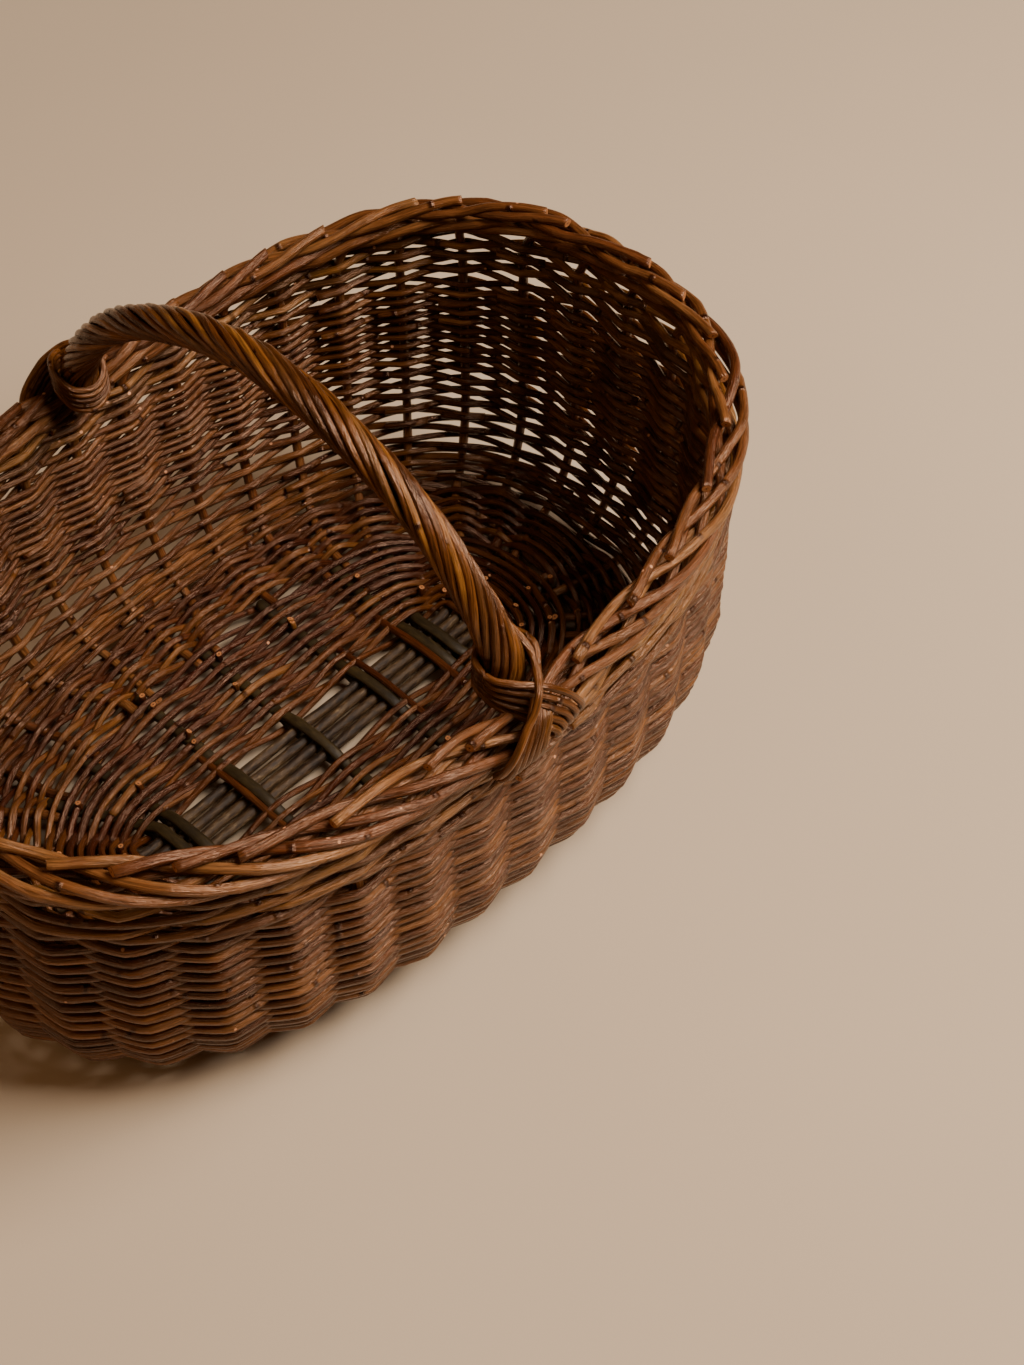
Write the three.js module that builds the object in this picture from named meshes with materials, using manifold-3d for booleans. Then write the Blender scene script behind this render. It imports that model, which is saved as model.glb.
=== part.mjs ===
// Oval willow basket with a roped bow handle, in millimetres: +X along the basket,
// +Y across it, +Z up. The origin is on the floor, below the middle of the border.

import * as THREE from 'three';
import { mergeVertices } from 'three/addons/utils/BufferGeometryUtils.js';
import Module from 'manifold-3d';

// Border: its centre line is a superellipse that rises towards both ends
const borderHalfLength = 230;
const borderHalfWidth = 153;
const ovalPower = 2.55;
const endFullness = 0.03;
const borderHeight = 166;
const endRise = 23;

// Stakes: the upright rods, which lie flat in the floor and turn down into the border.
// Their number is odd, so that a weaver changes sides on every round.
const stakePairs = 18;
const stakeCount = 2 * stakePairs + 1;
const stakeRadius = 3;
const stakePhase = 0.7;

// Side of the basket, as insets from the border's centre line and heights above the floor
const floorInset = 65;
const footInset = 31;
const floorLevel = 10.5;
const uprightHeight = 62;
const wallTopDrop = 12;

// Weavers: rods that pass outside one stake and inside the next
const weaverSize = 2.7;
const roundGap = 2;
const waleSize = 3.1;
const waleRounds = 3;
const rodGap = 0.4;

// Foot: the round that the basket stands on, worn flat below
const footWidth = 8.5;
const footWear = 0.5;

// Slath: long sticks threaded through split cross sticks
const longStickCount = 4;
const stickRadius = 3.7;
const stickPitch = 9;
const slathMargin = 5;
const crossPitch = (3 / 11) * (borderHalfLength - floorInset);
const pairPitch = 9;
const crossPlaces = [-2, -2, -1, 0, 1, 2, 2];
const crossShifts = [-0.5, 0.5, 0, 0, 0, -0.5, 0.5];
const crossFan = [-0.52, -0.1, 0, 0, 0, 0.1, 0.52];
const longFan = [-0.95, -0.27, 0.27, 0.95];
const slathX = -4.5;
const slathY = -2.5;

// Floor weave round the slath
const floorWeaverSize = 2.9;
const tuckLength = 9;
const floorGap = 0.7;

// Handle: a bow stick, with bundles of rods roped round it. Its arch rises from the
// border and swells out past its legs, which end just below the border.
const handleRise = 110;
const handleSwell = 5.9;
const archPower = 1.8;
const archEnd = 0.22;
const archSteps = 12;
const bowRadius = 4.9;
const bowLegDepth = 16;
const ropeBundles = 3;
const rodsPerBundle = 3;
const ropeInnerRadius = 6.1;
const ropeValleyRadius = 8.8;
const ropeOuterRadius = 11;
const ropePitch = 180;
const ropeSteps = 24;
const ropeStart = 12;

// Bindings: rods stacked as a collar round each foot of the handle, and as many that
// cross the collar, go over the border and end below it outside
const bindingRods = 5;
const bindingRodRadius = 2.1;
const bindingReach = 22;
const collarSides = 12;

const splitOverlap = 0.3;
const up = new THREE.Vector3(0, 0, 1);
const wasm = await Module();
wasm.setup();

// Sections are given as [outward, upward] pairs
const onCircle = (radius, angle) => [radius * Math.cos(angle), radius * Math.sin(angle)];
const regular = (radius, sides) =>
  Array.from({ length: sides }, (_, i) => onCircle(radius, (2 * Math.PI * i) / sides));

// One solid with the same section at every station, closed on itself or capped
function rod(stations, section, closed = false) {
  const sides = section.length;
  const count = stations.length;
  const corners = stations.flatMap(({ at, out, side }) =>
    section.flatMap(([o, s]) => at.clone().addScaledVector(out, o).addScaledVector(side, s).toArray()));
  const faces = [];
  for (let i = 0; i < (closed ? count : count - 1); i += 1) {
    const here = i * sides;
    const next = ((i + 1) % count) * sides;
    for (let j = 0; j < sides; j += 1) {
      const k = (j + 1) % sides;
      faces.push(here + j, here + k, next + k, here + j, next + k, next + j);
    }
  }
  const end = (count - 1) * sides;
  for (let j = 1; j < sides - 1 && !closed; j += 1) {
    faces.push(0, j + 1, j, end, end + j, end + j + 1);
  }
  const geometry = new THREE.BufferGeometry();
  geometry.setAttribute('position', new THREE.Float32BufferAttribute(corners, 3));
  geometry.setIndex(signedVolume(corners, faces) < 0 ? faces.reverse() : faces);
  return geometry;
}

function signedVolume(corners, faces) {
  const corner = (i) => new THREE.Vector3().fromArray(corners, faces[i] * 3);
  let volume = 0;
  for (let i = 0; i < faces.length; i += 3) {
    volume += corner(i).dot(corner(i + 1).cross(corner(i + 2))) / 6;
  }
  return volume;
}

// Stations along a path, each square to it, with the given direction kept outward
function squareStations(points, outwards) {
  return points.map((at, i) => {
    const before = points[Math.max(i - 1, 0)];
    const after = points[Math.min(i + 1, points.length - 1)];
    const travel = after.clone().sub(before).normalize();
    const out = outwards[i].clone().addScaledVector(travel, -outwards[i].dot(travel)).normalize();
    return { at, out, side: travel.clone().cross(out) };
  });
}

function toSolid(geometry) {
  const bare = geometry.clone();
  bare.deleteAttribute('normal');
  bare.deleteAttribute('uv');
  const merged = mergeVertices(bare, 1e-4);
  const vertProperties = new Float32Array(merged.attributes.position.array);
  const triVerts = new Uint32Array(merged.index.array);
  return new wasm.Manifold(new wasm.Mesh({ numProp: 3, vertProperties, triVerts }));
}

function fromSolid(solid) {
  const mesh = solid.getMesh();
  const geometry = new THREE.BufferGeometry();
  geometry.setAttribute('position', new THREE.Float32BufferAttribute(mesh.vertProperties, 3));
  geometry.setIndex(Array.from(mesh.triVerts));
  return geometry;
}

// Plan of the basket: superellipses about the border's centre line
function ovalPoint(angle, inset, height) {
  const bend = (value) => Math.sign(value) * Math.abs(value) ** (2 / ovalPower);
  const x = bend(Math.cos(angle));
  const y = bend(Math.sin(angle)) * (1 + endFullness * x);
  return new THREE.Vector3(x * (borderHalfLength - inset), y * (borderHalfWidth - inset), height);
}

// Angles that put the stakes at equal steps along the border
const angleSteps = 3600;
const runs = [0];
for (let i = 1; i <= angleSteps; i += 1) {
  const before = ovalPoint((2 * Math.PI * (i - 1)) / angleSteps, 0, 0);
  runs.push(runs[i - 1] + before.distanceTo(ovalPoint((2 * Math.PI * i) / angleSteps, 0, 0)));
}

function stakeAngle(stake) {
  const turns = (stake + stakePhase) / stakeCount;
  const lap = Math.floor(turns);
  const run = (turns - lap) * runs[angleSteps];
  const above = Math.max(runs.findIndex((length) => length > run), 1);
  const share = (run - runs[above - 1]) / (runs[above] - runs[above - 1]);
  return 2 * Math.PI * (lap + (above - 1 + share) / angleSteps);
}

const borderRise = (angle) => endRise * (ovalPoint(angle, 0, 0).x / borderHalfLength) ** 2;

// Side of the basket: from the foot round the corner and up to below the border
const corner = new THREE.CubicBezierCurve(
  new THREE.Vector2(footInset, floorLevel),
  new THREE.Vector2(0.5 * footInset, floorLevel + 0.5 * stakeRadius),
  new THREE.Vector2(0.08 * footInset, 0.5 * uprightHeight),
  new THREE.Vector2(0, uprightHeight),
);
const cornerStops = [0, 0.17, 0.38, 0.64, 1];
const sidePoints = [
  ...cornerStops.map((stop) => corner.getPointAt(stop)),
  new THREE.Vector2(0, borderHeight - wallTopDrop),
];
const side = new THREE.CurvePath();
for (let i = 1; i < sidePoints.length; i += 1) {
  side.add(new THREE.LineCurve(sidePoints[i - 1], sidePoints[i]));
}
const sideLength = side.getLength();

function wallPoint(angle, run) {
  const { x: inset, y: height } = side.getPoint(THREE.MathUtils.clamp(run / sideLength, 0, 1));
  const wallTop = borderHeight - wallTopDrop;
  const share = Math.max(height - uprightHeight, 0) / (wallTop - uprightHeight);
  return ovalPoint(angle, inset, height + share * borderRise(angle));
}

// Place on the side, with its outward, upward and anticlockwise directions
function wallFrame(angle, run) {
  const step = 0.5;
  const turn = 0.002;
  const at = wallPoint(angle, run);
  const low = wallPoint(angle, Math.max(run - step, 0));
  const high = wallPoint(angle, Math.min(run + step, sideLength));
  const rise = high.sub(low).normalize();
  const round = wallPoint(angle + turn, run).sub(wallPoint(angle - turn, run)).normalize();
  return { at, rise, round, out: round.clone().cross(rise).normalize() };
}

function borderFrame(stake) {
  const turn = 0.002;
  const angle = stakeAngle(stake);
  const at = ovalPoint(angle, 0, borderHeight + borderRise(angle));
  const round = ovalPoint(angle + turn, 0, 0).sub(ovalPoint(angle - turn, 0, 0)).normalize();
  return { at, out: round.cross(up) };
}

// Slath: sticks fan out past its middle, as far as the edge of the floor weave
const bundleHalfWidth = (longStickCount * stickPitch) / 2;
const slathHalfWidth = bundleHalfWidth + slathMargin;
const crossX = (i) => crossPlaces[i] * crossPitch + crossShifts[i] * pairPitch;
const longY = (i) => (i - (longStickCount - 1) / 2) * stickPitch;
const slathHalfLength = crossX(crossPlaces.length - 1) + 4 * slathMargin;

function reachToEdge(from, direction) {
  let near = 0;
  let far = borderHalfLength;
  while (far - near > 0.01) {
    const middle = (near + far) / 2;
    const x = Math.abs(from.x + middle * direction.x + slathX) / (borderHalfLength - floorInset);
    const y = Math.abs(from.y + middle * direction.y + slathY) / (borderHalfWidth - floorInset);
    [near, far] = x ** ovalPower + y ** ovalPower < 1 ? [middle, far] : [near, middle];
  }
  return near;
}

// Each spoke: where it leaves the slath, which way it goes and how far it reaches
function spoke(x, y, dx, dy) {
  const from = new THREE.Vector2(x, y);
  const direction = new THREE.Vector2(dx, dy).normalize();
  return { from, direction, reach: reachToEdge(from, direction) };
}

const crossSpoke = (i, sign) => spoke(crossX(i), sign * slathHalfWidth, crossFan[i], sign);
const longSpoke = (i, sign) => spoke(sign * slathHalfLength, longY(i), sign, longFan[i]);

function onSpoke({ from, direction }, distance, rise = 0) {
  const plan = from.clone().addScaledVector(direction, distance);
  return new THREE.Vector3(plan.x + slathX, plan.y + slathY, floorLevel + rise);
}

const spokeRoot = (one, rise = 0) => onSpoke(one, 0, rise);
const spokeTip = (one) => onSpoke(one, one.reach);

function longStick(i) {
  const left = longSpoke(i, -1);
  const right = longSpoke(i, 1);
  const points = [spokeTip(left), spokeRoot(left), spokeRoot(right), spokeTip(right)];
  return rod(squareStations(points, points.map(() => up)), regular(stickRadius, 6));
}

// A cross stick is split in its middle: one half goes over the long sticks, one below
function crossStick(i) {
  const near = crossSpoke(i, -1);
  const far = crossSpoke(i, 1);
  const lift = stickRadius + rodGap + splitOverlap;
  const bend = new THREE.Vector3(0, 0.6 * slathMargin, 0);
  const half = (sign) => {
    const points = [
      spokeTip(near),
      spokeRoot(near),
      spokeRoot(near, sign * lift).add(bend),
      spokeRoot(far, sign * lift).sub(bend),
      spokeRoot(far),
      spokeTip(far),
    ];
    const wide = 0.866 * stickRadius;
    const back = [[-splitOverlap, wide], [-splitOverlap, -wide]];
    const section = [...back, [wide / 2, -wide], [stickRadius, 0], [wide / 2, wide]];
    const outwards = points.map(() => up.clone().multiplyScalar(sign));
    return toSolid(rod(squareStations(points, outwards), section));
  };
  return fromSolid(half(1).add(half(-1)));
}

// All the spokes, clockwise from one side
const spokes = [
  ...[2, 3, 4, 5, 6].map((i) => crossSpoke(i, 1)),
  ...[3, 2, 1, 0].map((i) => longSpoke(i, 1)),
  ...[6, 5, 4, 3, 2, 1, 0].map((i) => crossSpoke(i, -1)),
  ...[0, 1, 2, 3].map((i) => longSpoke(i, -1)),
  ...[0, 1].map((i) => crossSpoke(i, 1)),
];

// Stakes are pushed in beside the spokes, on either side of them, each in the nearest place
const beside = 0.866 * stickRadius + rodGap + stakeRadius;
const bearing = (point) => Math.atan2(point.y, point.x);
const places = spokes.flatMap((one) => [-1, 1].map((hand) => {
  const aside = new THREE.Vector3(-one.direction.y, one.direction.x, 0).multiplyScalar(hand * beside);
  return { end: onSpoke(one, one.reach - tuckLength).add(aside), tip: spokeTip(one).add(aside) };
}));
const firstBearing = bearing(wallPoint(stakeAngle(0), 0)) - Math.PI / places.length;
const pastFirst = (point) =>
  THREE.MathUtils.euclideanModulo(bearing(point) - firstBearing, 2 * Math.PI);
places.sort((one, other) => pastFirst(one.tip) - pastFirst(other.tip));

const stakePlaces = [];
for (let i = 0, free = 0; i < stakeCount; i += 1) {
  const foot = wallPoint(stakeAngle(i), 0);
  const last = places.length - (stakeCount - i);
  let best = free;
  for (let j = free; j <= last; j += 1) {
    best = places[j].tip.distanceTo(foot) < places[best].tip.distanceTo(foot) ? j : best;
  }
  stakePlaces.push({ ...places[best], foot });
  free = best + 1;
}

// Each stake leaves the floor, climbs the side and is laid down into the border. The
// border path gives stakes passed, and outward and upward places in stake radii: the rod
// runs outside the next ones, climbs over the top and ends cut off inside.
const borderPath = [
  [0.12, 0.5, -3.2],
  [0.55, 1.5, -2.65],
  [1.1, 2.65, -1.5],
  [1.7, 2.9, 0.2],
  [2.3, 2, 1.5],
  [3, 0.35, 2.05],
  [3.9, -2.15, 1.2],
];

function stake(index) {
  const down = up.clone().negate();
  const points = [stakePlaces[index].end, stakePlaces[index].tip];
  const outwards = [down, down];
  for (const run of [0, ...side.getCurveLengths()]) {
    const frame = wallFrame(stakeAngle(index), run);
    points.push(frame.at);
    outwards.push(frame.out);
  }
  for (const [passed, outward, upward] of borderPath) {
    const { at, out } = borderFrame(index - passed);
    at.addScaledVector(out, outward * stakeRadius).addScaledVector(up, upward * stakeRadius);
    points.push(at);
    outwards.push(out);
  }
  return rod(squareStations(points, outwards), regular(stakeRadius, 4));
}

// Floor weave: one rod spirals out, over one group of spokes and under the next. The
// pairs and the ends of the long sticks are taken together at first, then opened out.
const closedGroups = [0, 1, 2, 3, 3, 4, 4, 4, 4, 5, 5, 6, 7, 8, 9, 9, 10, 10, 10, 10, 11, 11];
const openGroups = [...spokes.keys()].map((i) => Math.min(i, spokes.length - 2));
const openedShare = 0.88;

const triangle = (size) => [[-size / 2, -size * 0.866], [size, 0], [-size / 2, size * 0.866]];
const roundPitch = (size) => 2 * 0.866 * size + roundGap;

// Stations of a rod that lies flat, with its section upright
function layFlat(points) {
  return points.map((at, i) => {
    const before = points[Math.max(i - 1, 0)];
    const after = points[Math.min(i + 1, points.length - 1)];
    return { at, out: up, side: after.clone().sub(before).setZ(0).normalize().cross(up) };
  });
}

// Height of a weaver's centre above the rods that it passes over or under
const weaverLift = (over, radius, size) =>
  (over ? radius + floorGap + size / 2 : -(radius + floorGap + size));

function floorWeaver() {
  const depth = borderHalfWidth - floorInset - slathHalfWidth - tuckLength;
  const rounds = Math.floor(depth / roundPitch(floorWeaverSize));
  const points = [];
  let over = true;
  let group = -1;
  for (let i = 0; i < rounds * spokes.length; i += 1) {
    const share = (i / spokes.length + 0.5) / (rounds + 0.5);
    const one = spokes[i % spokes.length];
    const nextGroup = (share < openedShare ? closedGroups : openGroups)[i % spokes.length];
    over = nextGroup === group ? over : !over;
    group = nextGroup;
    const distance = share * (one.reach - tuckLength - floorWeaverSize);
    points.push(onSpoke(one, distance, weaverLift(over, stickRadius, floorWeaverSize)));
  }
  return rod(layFlat(points), triangle(floorWeaverSize));
}

// Past the spokes, a rod spirals on over one stake and under the next
function floorEdgeWeaver() {
  const width = floorInset - footInset;
  const start = 1.5 * weaverSize;
  const rounds = (width - start - footWidth / 2 - weaverSize - roundGap) / roundPitch(weaverSize);
  const points = [];
  for (let i = 0; i <= rounds * stakeCount; i += 1) {
    const { tip, foot } = stakePlaces[i % stakeCount];
    const share = (start + (roundPitch(weaverSize) * i) / stakeCount) / width;
    const lift = weaverLift(i % 2 === 0, stakeRadius, weaverSize);
    points.push(tip.clone().lerp(foot, share).addScaledVector(up, lift));
  }
  return rod(layFlat(points), triangle(weaverSize));
}

// Side weave: a rod spirals up from one count of stakes passed to another, inside one
// stake in every few and outside the rest, with its ends cut off inside a stake
function spiralWeaver(first, last, firstRun, pitch, size, every) {
  const stations = [];
  for (let i = first; i <= last; i += 1) {
    const { at, out, rise, round } = wallFrame(stakeAngle(i), firstRun + (pitch * i) / stakeCount);
    const offset = i % every === 0 ? -(stakeRadius + rodGap + size) : stakeRadius + rodGap + size / 2;
    const trim = (i === first ? rodGap : 0) - (i === last ? rodGap : 0);
    at.addScaledVector(out, offset).addScaledVector(round, trim);
    stations.push({ at, out, side: rise });
  }
  return rod(stations, triangle(size));
}

// Foot: one flattened round below the stakes
function footRing() {
  const height = floorLevel - stakeRadius - rodGap;
  const half = footWidth / 2;
  const stations = [];
  for (let i = 0; i < stakeCount; i += 1) {
    const { at, round } = wallFrame(stakeAngle(i), 0);
    stations.push({ at: at.setZ(0), out: round.clone().cross(up), side: up });
  }
  const worn = half - footWear;
  const section = [[-worn, 0], [worn, 0], [half, height / 2], [0, height], [-half, height / 2]];
  return rod(stations, section, true);
}

// Handle: the bow's legs stand inside the border, and its arch spans them
const legAtBorder = borderHalfWidth - 3.2 * stakeRadius - rodGap - bowRadius;

function archPoint(angle) {
  const bend = (value) => Math.sign(value) * Math.abs(value) ** (2 / archPower);
  const across = (legAtBorder + handleSwell) * bend(Math.cos(angle));
  return new THREE.Vector3(0, across, borderHeight + handleRise * bend(Math.sin(angle)));
}

const archAngles = Array.from({ length: archSteps + 1 }, (_, i) =>
  archEnd + ((Math.PI - 2 * archEnd) * i) / archSteps);
const legPoints = (sign) => [
  new THREE.Vector3(0, sign * legAtBorder, borderHeight - bowLegDepth),
  new THREE.Vector3(0, sign * legAtBorder, borderHeight),
];
const bowCurve = new THREE.CatmullRomCurve3([
  ...legPoints(1),
  ...archAngles.map(archPoint),
  ...legPoints(-1).reverse(),
], false, 'centripetal');

function curveStations(curve, count, from = 0, to = 1) {
  const stations = [];
  for (let i = 0; i <= count; i += 1) {
    const share = from + ((to - from) * i) / count;
    const travel = curve.getTangentAt(share);
    const out = new THREE.Vector3(1, 0, 0).addScaledVector(travel, -travel.x).normalize();
    stations.push({ at: curve.getPointAt(share), out, side: travel.clone().cross(out), travel });
  }
  return stations;
}

// Share of the bow's length at which it passes a height on its first leg
function shareAtHeight(height) {
  let share = 0;
  while (bowCurve.getPointAt(share).z < height) {
    share += 0.0005;
  }
  return share;
}

const ropeShare = shareAtHeight(borderHeight + ropeStart);
const ropeTurns = ((1 - 2 * ropeShare) * bowCurve.getLength()) / ropePitch;

// The collars go round the rope's two lower ends
const collarHeight = borderHeight + ropeStart + bindingRods * bindingRodRadius;
const collarReach = (ropeOuterRadius + 4 * rodGap) / Math.cos(Math.PI / collarSides) + bindingRodRadius;

// The bow turns with the same steps as the rods round it
function handleBow() {
  const legSteps = 4;
  const stations = [
    ...curveStations(bowCurve, legSteps, 0, ropeShare).slice(0, -1),
    ...curveStations(bowCurve, ropeSteps, ropeShare, 1 - ropeShare),
    ...curveStations(bowCurve, legSteps, 1 - ropeShare, 1).slice(1),
  ];
  return rod(stations, regular(bowRadius, 6));
}

// Bundle of the rope: a hollow back, and a ridge for each rod in front
function ropeBundle(index) {
  const halfAngle = Math.PI / ropeBundles - rodGap / ropeInnerRadius / 2;
  const section = [1, 0.34, -0.34, -1].map((share) => onCircle(ropeInnerRadius, share * halfAngle));
  const width = (2 * halfAngle) / rodsPerBundle;
  for (let i = 0; i < rodsPerBundle; i += 1) {
    const from = i * width - halfAngle;
    section.push(onCircle(ropeValleyRadius, from), onCircle(ropeOuterRadius, from + width / 2));
  }
  section.push(onCircle(ropeValleyRadius, halfAngle));
  const stations = curveStations(bowCurve, ropeSteps, ropeShare, 1 - ropeShare).map((station, i) => {
    const angle = 2 * Math.PI * (index / ropeBundles + (ropeTurns * i) / ropeSteps);
    return { ...station, ...turned(station, angle) };
  });
  return rod(stations, section);
}

// Directions of a station, turned about its path
function turned({ out, side, travel }, angle) {
  const turnedOut = out.clone().multiplyScalar(Math.cos(angle)).addScaledVector(side, Math.sin(angle));
  return { out: turnedOut, side: travel.clone().cross(turnedOut) };
}

// Section of rods that lie side by side, as [across, forward] pairs: a flat back, and a
// ridge for each rod in front
function ribbed(count, radius) {
  const half = count * radius;
  const section = [[half, -radius], [-half, -radius]];
  for (let i = 0; i < count; i += 1) {
    const from = 2 * i * radius - half;
    section.push([from, 0], [from + radius, radius]);
  }
  section.push([half, 0]);
  return section;
}

function bindingCollar(sign) {
  const share = shareAtHeight(collarHeight);
  const [foot] = curveStations(bowCurve, 1, sign > 0 ? share : 1 - share, 0.5);
  const stations = [];
  for (let i = 0; i < collarSides; i += 1) {
    const { out } = turned(foot, (2 * Math.PI * i) / collarSides);
    stations.push({ at: foot.at.clone().addScaledVector(out, collarReach), out, side: foot.travel });
  }
  const section = ribbed(bindingRods, bindingRodRadius).map(([across, forward]) => [forward, across]);
  return rod(stations, section, true);
}

// Rods that start on the collar's outer face
function bindingBand(sign) {
  const collarFace = bowCurve.getPointAt(shareAtHeight(collarHeight)).y - borderHalfWidth;
  const start = collarFace + collarReach + 1.5 * bindingRodRadius;
  const wall = stakeRadius + rodGap + 1.5 * waleSize + rodGap + bindingRodRadius;
  const border = 4 * stakeRadius + 2 * rodGap + bindingRodRadius;
  const path = [
    [start, collarHeight - borderHeight + bindingRods * bindingRodRadius],
    [start, collarHeight - borderHeight],
    [0.75 * border, 0.95 * border],
    [border, 0.45 * border],
    [border, -0.5 * border],
    [wall, -bindingReach],
  ];
  const points = path.map(([outward, upward]) =>
    new THREE.Vector3(0, sign * (borderHalfWidth + outward), borderHeight + upward));
  const outwards = points.map(() => new THREE.Vector3(-sign, 0, 0));
  return rod(squareStations(points, outwards), ribbed(bindingRods, bindingRodRadius));
}

const binding = (sign) => fromSolid(toSolid(bindingCollar(sign)).add(toSolid(bindingBand(sign))));

// Pieces, named and coloured
const willow = new THREE.MeshStandardMaterial({ color: 0x7d4a24, roughness: 0.45, flatShading: true });
const darkWillow = new THREE.MeshStandardMaterial({ color: 0x5a3219, roughness: 0.5, flatShading: true });
const paleWillow = new THREE.MeshStandardMaterial({ color: 0x96602f, roughness: 0.4, flatShading: true });
const bark = new THREE.MeshStandardMaterial({ color: 0x514a38, roughness: 0.8, flatShading: true });

const basket = new THREE.Group();

function addPiece(name, geometry, material) {
  const mesh = new THREE.Mesh(geometry, material.clone());
  mesh.name = name;
  basket.add(mesh);
}

for (let i = 0; i < longStickCount; i += 1) {
  addPiece(`long_stick_${i + 1}`, longStick(i), bark);
}
for (let i = 0; i < crossPlaces.length; i += 1) {
  addPiece(`cross_stick_${i + 1}`, crossStick(i), bark);
}
addPiece('floor_weaver', floorWeaver(), darkWillow);
addPiece('floor_edge_weaver', floorEdgeWeaver(), darkWillow);

for (let i = 0; i < stakeCount; i += 1) {
  addPiece(`stake_${String(i + 1).padStart(2, '0')}`, stake(i), paleWillow);
}

addPiece('foot_round', footRing(), darkWillow);

// The spirals follow each other, from the foot up to below the border
const firstRun = footWidth / 2 + 1.2 * weaverSize + roundGap;
const waleRun = sideLength - waleRounds * roundPitch(waleSize) - waleSize;
const weaverPitch = roundPitch(weaverSize);
const sidePairs = Math.floor((stakePairs * (waleRun - firstRun)) / weaverPitch) - stakePairs;
const lowerPairs = Math.floor(sidePairs / 2);
addPiece('lower_weaver', spiralWeaver(0, 2 * lowerPairs, firstRun, weaverPitch, weaverSize, 2), willow);
addPiece('upper_weaver',
  spiralWeaver(2 * lowerPairs, 2 * sidePairs, firstRun, weaverPitch, weaverSize, 2), willow);
addPiece('top_wale',
  spiralWeaver(0, waleRounds * stakeCount, waleRun, roundPitch(waleSize), waleSize, 3), darkWillow);

addPiece('handle_bow', handleBow(), darkWillow);
for (let i = 0; i < ropeBundles; i += 1) {
  addPiece(`handle_rope_${i + 1}`, ropeBundle(i), willow);
}
addPiece('near_binding', binding(-1), willow);
addPiece('far_binding', binding(1), willow);

export default basket;
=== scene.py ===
import math
import bpy
import numpy as np
from mathutils import Euler, Matrix, Vector


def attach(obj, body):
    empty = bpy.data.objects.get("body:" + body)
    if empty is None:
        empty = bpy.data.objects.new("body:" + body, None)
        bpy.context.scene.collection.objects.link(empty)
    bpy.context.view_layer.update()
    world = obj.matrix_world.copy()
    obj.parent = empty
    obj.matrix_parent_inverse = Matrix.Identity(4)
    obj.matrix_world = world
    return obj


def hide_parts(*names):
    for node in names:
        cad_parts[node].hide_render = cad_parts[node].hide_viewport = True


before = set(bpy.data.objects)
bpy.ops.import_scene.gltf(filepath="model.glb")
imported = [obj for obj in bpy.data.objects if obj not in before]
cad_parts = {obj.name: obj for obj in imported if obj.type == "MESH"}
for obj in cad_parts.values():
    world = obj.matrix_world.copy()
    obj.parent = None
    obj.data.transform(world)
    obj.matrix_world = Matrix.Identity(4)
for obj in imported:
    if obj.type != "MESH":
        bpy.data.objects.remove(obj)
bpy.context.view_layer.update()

# Oval willow basket, dressed rod by rod. Sizes are in millimetres here, and become
# metres when a mesh is made. A "run" is a length along a line or up the side.
rng = np.random.default_rng(41)

basket = {
    "halfLength": 230, "halfWidth": 153, "ovalPower": 2.55, "endFullness": 0.03,
    "borderHeight": 166, "endRise": 23, "stakes": 37, "stakePhase": 0.7,
    "floorInset": 65, "footInset": 31, "floorLevel": 10.5,
    # the side curves up from the foot, is upright from this height and ends below the border
    "uprightHeight": 62, "wallTopDrop": 9,
    # handles of that curve: share of the foot's inset and rise over the floor, then share of
    # the inset and of the upright height
    "footPull": (0.5, 1.5), "sidePull": (0.08, 0.5),
}
stakeCount = basket["stakes"]
wallTop = basket["borderHeight"] - basket["wallTopDrop"]


def bend(value):
    return np.sign(value) * np.abs(value) ** (2 / basket["ovalPower"])


def ovalPoint(angle, inset, height):      # plan of the basket, inset from the border
    x = bend(np.cos(angle))
    y = bend(np.sin(angle)) * (1 + basket["endFullness"] * x)
    plan = (x * (basket["halfLength"] - inset), y * (basket["halfWidth"] - inset))
    return np.stack([*plan, height + 0 * x], -1)


def pathRuns(points):                     # length along a line at each of its points
    return np.concatenate([[0], np.cumsum(np.linalg.norm(np.diff(points, axis=0), axis=1))])


lapAngles = np.linspace(0, 2 * math.pi, 3601)
lapRuns = pathRuns(ovalPoint(lapAngles, 0, 0))


def angleAt(position):                    # position round the basket, counted in stakes
    turns = (np.asarray(position, float) + basket["stakePhase"]) / stakeCount
    lap = np.floor(turns)
    return 2 * math.pi * lap + np.interp((turns - lap) * lapRuns[-1], lapRuns, lapAngles)


def borderRise(angle):
    return basket["endRise"] * (ovalPoint(angle, 0, 0)[..., 0] / basket["halfLength"]) ** 2


def sideProfile():                        # inset and height, from the foot up to below the border
    foot, level, upright = basket["footInset"], basket["floorLevel"], basket["uprightHeight"]
    footPull, sidePull = basket["footPull"], basket["sidePull"]
    a, d = np.array([foot, level]), np.array([0, upright])
    b = np.array([footPull[0] * foot, level + footPull[1]])
    c = np.array([sidePull[0] * foot, sidePull[1] * upright])
    t = np.linspace(0, 1, 80)[:, None]
    curve = (1 - t) ** 3 * a + 3 * (1 - t) ** 2 * t * b + 3 * (1 - t) * t ** 2 * c + t ** 3 * d
    return np.vstack([curve, [0, wallTop]])


profile = sideProfile()
profileRuns = pathRuns(profile)
sideLength = profileRuns[-1]


def wallPoint(position, run):
    angle = angleAt(position)
    inset = np.interp(run, profileRuns, profile[:, 0])
    height = np.interp(run, profileRuns, profile[:, 1])
    upright = basket["uprightHeight"]
    share = np.clip((height - upright) / (wallTop - upright), 0, 1)
    return ovalPoint(angle, inset, height + share * borderRise(angle))


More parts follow.
